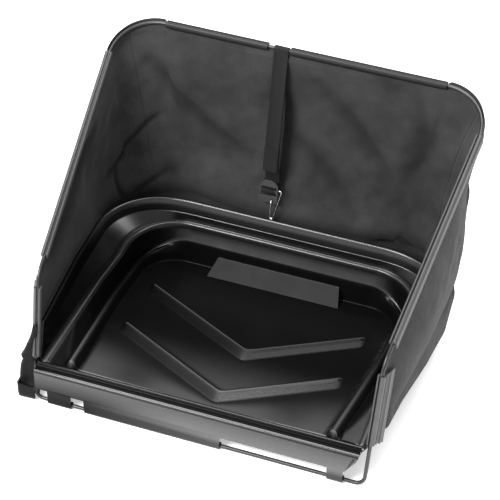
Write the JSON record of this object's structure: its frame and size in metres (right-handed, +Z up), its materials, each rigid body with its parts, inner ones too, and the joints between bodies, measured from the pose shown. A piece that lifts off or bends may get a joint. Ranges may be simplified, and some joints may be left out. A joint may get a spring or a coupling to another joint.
{
  "type": "grass collection bag",
  "caption": "Open-fronted grass catcher: moulded tray with raised chevrons, bent wire frame, clipped cloth sides and back, and a strap with a buckle and a wire hook.",
  "frame": {"origin": "middle of the footprint, at the level of the lowest points (the tabs under the foot bar and the rear edge of the tray's skirt)", "axes": "+X to the right seen from the open mouth, +Y from the mouth to the back panel, +Z up; the mouth faces -Y and up"},
  "size_m": [0.5122, 0.4082, 0.3311],
  "materials": {
    "moulded_plastic": "glossy black moulding",
    "coated_wire": "black powder-coated steel wire",
    "clip_plastic": "satin dark grey extrusion",
    "woven_cloth": "dark grey woven polyester",
    "strap_webbing": "black woven webbing",
    "buckle_plastic": "satin black moulding",
    "plated_wire": "bright plated steel wire"
  },
  "bodies": {
    "bag": {"tray": "moulded_plastic", "wire_frame": "coated_wire", "clip_upright_left": "clip_plastic", "clip_upright_right": "clip_plastic", "clip_slant_left": "clip_plastic", "clip_slant_right": "clip_plastic", "clip_top_left": "clip_plastic", "clip_top_right": "clip_plastic", "panel_left": "woven_cloth", "panel_back": "woven_cloth", "panel_right": "woven_cloth", "strap": "strap_webbing", "buckle": "buckle_plastic"},
    "hook": {"hook": "plated_wire"}
  },
  "joints": [
    {"name": "hook_swing", "type": "hinge", "parent": "bag", "child": "hook", "pos_m": [-0.03, 0.14749, 0.1101], "axis": [-1, 0, 0], "range_deg": [0, 45]}
  ]
}
